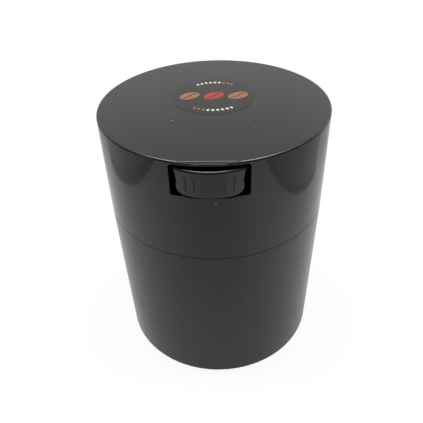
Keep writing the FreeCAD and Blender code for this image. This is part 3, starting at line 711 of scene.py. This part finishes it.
def make_print(surface, film):
    """A row of three coffee beans between two rows of lozenges."""
    tan = ink("ink_tan", INK_TAN)
    red = ink("ink_red", INK_RED)
    white = ink("ink_white", INK_WHITE)
    left, middle, right = (surface + Vector((offset * BEAN_PITCH * MM, 0, 0)) for offset in (-1, 0, 1))
    creases = [bean_crease(place, film) for place in (left, middle, right)]
    beans = [
        join_print([printed_bean(left, tan), printed_bean(right, tan)], "print_outer_beans"),
        join_print([printed_bean(middle, red)], "print_middle_bean"),
        join_print(creases, "print_creases"),
    ]
    return beans + printed_rows(surface, tan, white)


def make_label():
    """The label, a thin disc with a rounded rim, and its print."""
    low, high = (Vector(corner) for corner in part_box("top_label"))
    centre = (low + high) / 2
    centre.z = low.z
    rise = LABEL_RISE * MM
    film = label_film()
    radius = (high.x - low.x) / 2
    disc = rounded_disc("label_disc", centre, radius, LABEL_SIDES, rise, LABEL_EDGE * MM, LABEL_RIM * MM)
    disc.data.materials.append(film)
    prints = make_print(centre + Vector((0, 0, rise)), film)
    dress("top_label", film)
    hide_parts("top_label")
    for piece in [disc] + prints:
        ride_lid(piece)


# The spring and the gate

def coil_height(turn, low, high):
    """Height of the wire's middle after so many turns: a closed turn at each end, open turns between."""
    closed = SPRING_END_PITCH * MM
    if turn < 1:
        return low + turn * closed
    if turn > SPRING_TURNS - 1:
        return high - (SPRING_TURNS - turn) * closed
    return low + closed + (turn - 1) * (high - low - 2 * closed) / (SPRING_TURNS - 2)


def wind_coil(centre, mean, low, high):
    """A wire along a helix, as a mesh."""
    select_only()
    bpy.ops.curve.primitive_nurbs_path_add(location=(centre.x, centre.y, 0))
    coil = bpy.context.object
    line = coil.data.splines[0]
    line.points.add(SPRING_TURNS * SPRING_POINTS + 1 - len(line.points))
    for index, point in enumerate(line.points):
        turn = index / SPRING_POINTS
        angle = 2 * math.pi * turn
        point.co = (mean * math.cos(angle), mean * math.sin(angle), coil_height(turn, low, high), 1)
    line.order_u = WIRE_ORDER
    line.use_endpoint_u = True
    line.resolution_u = WIRE_STEPS
    coil.data.bevel_depth = SPRING_WIRE * MM / 2
    coil.data.bevel_resolution = WIRE_ROUNDNESS
    coil.data.use_fill_caps = True
    select_only(coil)
    bpy.ops.object.convert(target="MESH")
    return bpy.context.object


def grind(height, **side):
    """In edit mode, cut the mesh off flat at a height and close the cut."""
    bpy.ops.mesh.select_all(action="SELECT")
    flat = {"plane_co": (0, 0, height), "plane_no": (0, 0, 1), "use_fill": True, "threshold": GRIND_REACH}
    bpy.ops.mesh.bisect(**flat, **side)


def make_spring():
    """The valve's coil, with closed ends that are ground flat."""
    low, high = (Vector(corner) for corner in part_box("valve_spring"))
    centre = (low + high) / 2
    half_wire = SPRING_WIRE * MM / 2
    inset = half_wire - SPRING_GROUND * MM
    coil = wind_coil(centre, (high.x - low.x) / 2 - half_wire, low.z + inset, high.z - inset)
    start_editing()
    bpy.ops.mesh.remove_doubles(threshold=MERGE_REACH)
    grind(low.z, clear_inner=True)
    grind(high.z, clear_outer=True)
    finish_editing()
    bpy.ops.object.shade_smooth_by_angle(angle=SMOOTH_ANGLE)
    settle(coil, "coil")
    wire = spring_wire()
    coil.data.materials.clear()
    coil.data.materials.append(wire)
    dress("valve_spring", wire)
    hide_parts("valve_spring")
    ride_lid(coil)
    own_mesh(coil)


def make_gate(finish):
    """The cut-off stub in the middle of the base's underside, where the plastic was let in."""
    place = (0, 0, GATE_UNDERSIDE * MM)
    edge = GATE_EDGE * MM
    gate = rounded_disc("gate_stub", place, GATE_RADIUS * MM, GATE_SIDES, -GATE_DROP * MM, edge, edge)
    gate.data.materials.append(finish)
    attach(gate, "base")


# The studio

def walls_in_gloss(tree):
    """The level that gloss shows each way: pale walls, a bright ceiling and strip, and a dim room ahead."""
    way = node(tree, "ShaderNodeTexCoord").outputs["Generated"]
    parts = node(tree, "ShaderNodeSeparateXYZ", Vector=way).outputs
    along_strip = step(tree, calc(tree, "ABSOLUTE", parts["X"]), *STRIP_END_SPAN)
    across_strip = step(tree, parts["Y"], *STRIP_BACK_SPAN, 0.0, STRIP_GAIN)
    bright = gather(tree, "ADD", [
        calc(tree, "MULTIPLY", along_strip, across_strip),
        step(tree, parts["X"], *WALL_RIGHT_SPAN, 0.0, WALL_RIGHT_GAIN),
        step(tree, parts["X"], *WALL_LEFT_SPAN, 0.0, WALL_LEFT_GAIN),
        step(tree, parts["Z"], *CEILING_SPAN, 0.0, CEILING_GAIN),
        WALL_IN_GLOSS - ROOM_LEVEL,
    ])
    backward = calc(tree, "ADD", parts["Y"], calc(tree, "MULTIPLY", parts["Z"], ROOM_SLANT))
    outside_room = step(tree, backward, ROOM_EDGE - ROOM_BLUR, ROOM_EDGE + ROOM_BLUR)
    return calc(tree, "ADD", calc(tree, "MULTIPLY", outside_room, bright), ROOM_LEVEL)


def light_walls():
    """Walls that are white to the camera, dim on matt surfaces and have levels of their own in gloss."""
    world = bpy.data.worlds.new("studio")
    bpy.context.scene.world = world
    world.use_nodes = True
    world.cycles.sampling_method = "NONE"
    tree = world.node_tree
    ray = node(tree, "ShaderNodeLightPath").outputs
    seen = calc(tree, "MAXIMUM", ray["Is Camera Ray"], ray["Is Transmission Ray"])
    in_gloss = calc(tree, "SUBTRACT", walls_in_gloss(tree), WALL_ON_MATT)
    level = gather(tree, "ADD", [
        calc(tree, "MULTIPLY", seen, WALL_WHITE - WALL_ON_MATT),
        calc(tree, "MULTIPLY", ray["Is Glossy Ray"], in_gloss),
        WALL_ON_MATT,
    ])
    tone = blend(tree, ray["Is Glossy Ray"], WHITE, WALL_WARM)
    feed(tree, tree.nodes["Background"].inputs["Strength"], level)
    feed(tree, tree.nodes["Background"].inputs["Color"], tone)


def add_softbox():
    """A long softbox that shines straight down; gloss shows the strip overhead in its place."""
    bpy.ops.object.light_add(type="AREA", location=SOFTBOX_PLACE)
    lamp = bpy.context.object
    lamp.name = "overhead_softbox"
    lamp.data.shape = "RECTANGLE"
    lamp.data.size = SOFTBOX_WIDTH
    lamp.data.size_y = SOFTBOX_LENGTH
    lamp.data.energy = SOFTBOX_WATTS
    lamp.visible_glossy = False


def band(tree, value, low, high):
    """1 between low and high, 0 outside, with the blur of the sheet's edge."""
    above = step(tree, value, low - SHEET_EDGE, low + SHEET_EDGE)
    below = step(tree, value, high + SHEET_EDGE, high - SHEET_EDGE)
    return calc(tree, "MULTIPLY", above, below)


def beside_sheet(tree, place, distance):
    """1 in the gaps beside the sheet, which end at a front line, at a slanting back line and far away; the
    floor's painted reflection is darker there.
    """
    on_sheet = band(tree, place["X"], SHEET_LEFT, SHEET_RIGHT)
    outward = calc(tree, "MULTIPLY", calc(tree, "ABSOLUTE", place["X"]), SHEET_GAP_SLANT)
    backward = calc(tree, "SUBTRACT", place["Y"], outward)
    return gather(tree, "MULTIPLY", [
        calc(tree, "SUBTRACT", 1.0, on_sheet),
        step(tree, place["Y"], SHEET_GAP_FRONT - SHEET_EDGE, SHEET_GAP_FRONT + SHEET_EDGE),
        step(tree, backward, SHEET_GAP_BACK + SHEET_GAP_BACK_EDGE, SHEET_GAP_BACK - SHEET_GAP_BACK_EDGE),
        step(tree, distance, *SHEET_GAP_FADE),
    ])


def painted_white_reflection(tree, place, distance):
    """The white floor's painted reflection level in gloss: brighter at the sides, painted shade far ahead,
    dimmer behind and off the sheet.
    """
    left = step(tree, place["X"], *FLOOR_LEFT_SPAN, 0.0, FLOOR_LEFT - FLOOR_AHEAD)
    right = step(tree, place["X"], *FLOOR_RIGHT_SPAN, FLOOR_AHEAD, FLOOR_RIGHT)
    gap = beside_sheet(tree, place, distance)
    # Painted shade of the sheet: the gaps nearest it are darker still in the floor's reflection
    near_sheet = band(tree, place["X"], SHEET_LEFT - SHEET_PAINTED_SHADE_LEFT, SHEET_RIGHT + SHEET_PAINTED_SHADE_RIGHT)
    shade = calc(tree, "MULTIPLY", gap, near_sheet)
    return gather(tree, "MULTIPLY", [
        calc(tree, "ADD", left, right),
        # Painted shade far ahead of the canister
        step(tree, place["Y"], *FLOOR_FAR_SPAN, 1.0, FLOOR_FAR_PAINTED_SHADE),
        step(tree, place["Y"], *FLOOR_BACK_SPAN, 1.0, FLOOR_BACK_SHARE),
        between(tree, gap, 1.0, SHEET_GAP_SHARE),
        between(tree, shade, 1.0, SHEET_PAINTED_SHADE_SHARE),
    ])


def painted_floor_reflection(tree):
    """The floor's painted reflection, its level in gloss: white near the canister, and as dim as the room
    further ahead.
    """
    place = surface_place(tree)
    parts = node(tree, "ShaderNodeSeparateXYZ", Vector=place).outputs
    away = node(tree, "ShaderNodeVectorMath", Vector=place)
    away.operation = "LENGTH"
    distance = away.outputs["Value"]
    white = painted_white_reflection(tree, parts, distance)
    off_sheet = step(tree, distance, *SHEET_REACH)
    toward_back = calc(tree, "DIVIDE", parts["Y"], distance)
    in_room = step(tree, toward_back, ROOM_EDGE + ROOM_BLUR, ROOM_EDGE - ROOM_BLUR)
    dim = calc(tree, "MULTIPLY", off_sheet, in_room)
    lit = calc(tree, "MULTIPLY", calc(tree, "SUBTRACT", 1.0, dim), white)
    return calc(tree, "ADD", lit, calc(tree, "MULTIPLY", dim, ROOM_LEVEL))


def floor_finish():
    """Pale matt paper, nearly white to the camera and still with the shadow on it; in gloss it glows with a
    painted reflection.
    """
    material = bpy.data.materials.new("pale_floor")
    material.use_nodes = True
    tree = material.node_tree
    tree.nodes.remove(tree.nodes["Principled BSDF"])
    paper = node(tree, "ShaderNodeBsdfDiffuse", Color=FLOOR_COLOUR)
    ray = node(tree, "ShaderNodeLightPath").outputs
    seen = calc(tree, "MULTIPLY", ray["Is Camera Ray"], FLOOR_WHITE)
    # Painted reflection: glossy rays see the floor glow at levels painted by place, mixed with a little of
    # the lit paper
    in_gloss = calc(tree, "MULTIPLY", ray["Is Glossy Ray"], painted_floor_reflection(tree))
    tone = blend(tree, ray["Is Glossy Ray"], WHITE, FLOOR_WARM)
    white = node(tree, "ShaderNodeEmission", Color=tone, Strength=calc(tree, "ADD", seen, in_gloss))
    to_camera = calc(tree, "MULTIPLY", ray["Is Camera Ray"], FLOOR_WHITE_SHARE)
    to_gloss = calc(tree, "MULTIPLY", ray["Is Glossy Ray"], FLOOR_PAINTED_REFLECTION_SHARE)
    mixed = tree.nodes.new("ShaderNodeMixShader")
    feed(tree, mixed.inputs[0], calc(tree, "ADD", to_camera, to_gloss))
    feed(tree, mixed.inputs[1], paper.outputs["BSDF"])
    feed(tree, mixed.inputs[2], white.outputs["Emission"])
    feed(tree, tree.nodes["Material Output"].inputs["Surface"], mixed.outputs["Shader"])
    return material


def add_floor():
    select_only()
    bpy.ops.mesh.primitive_plane_add(size=FLOOR_SIZE, location=(0, 0, -FLOOR_DROP * MM))
    floor = bpy.context.object
    floor.name = "floor"
    floor.data.materials.append(floor_finish())


def add_studio():
    light_walls()
    add_softbox()
    add_floor()


place_camera()
add_studio()

base_finish = base_satin()
dress("base_cup", base_finish)
dress("lid_shell", lid_gloss())
dress("release_button", button_gloss())
dress("inner_lid", inner_matt())
dress("lid_seal", soft_rubber("seal_silicone", SEAL_GREY, roughness=0.5))
dress("valve_plug", soft_rubber("plug_rubber", PLUG_GREY, roughness=0.58))
dress("valve_stem", acetal())
make_label()
make_spring()
make_gate(base_finish)

bpy.context.scene.view_settings.view_transform = "Standard"
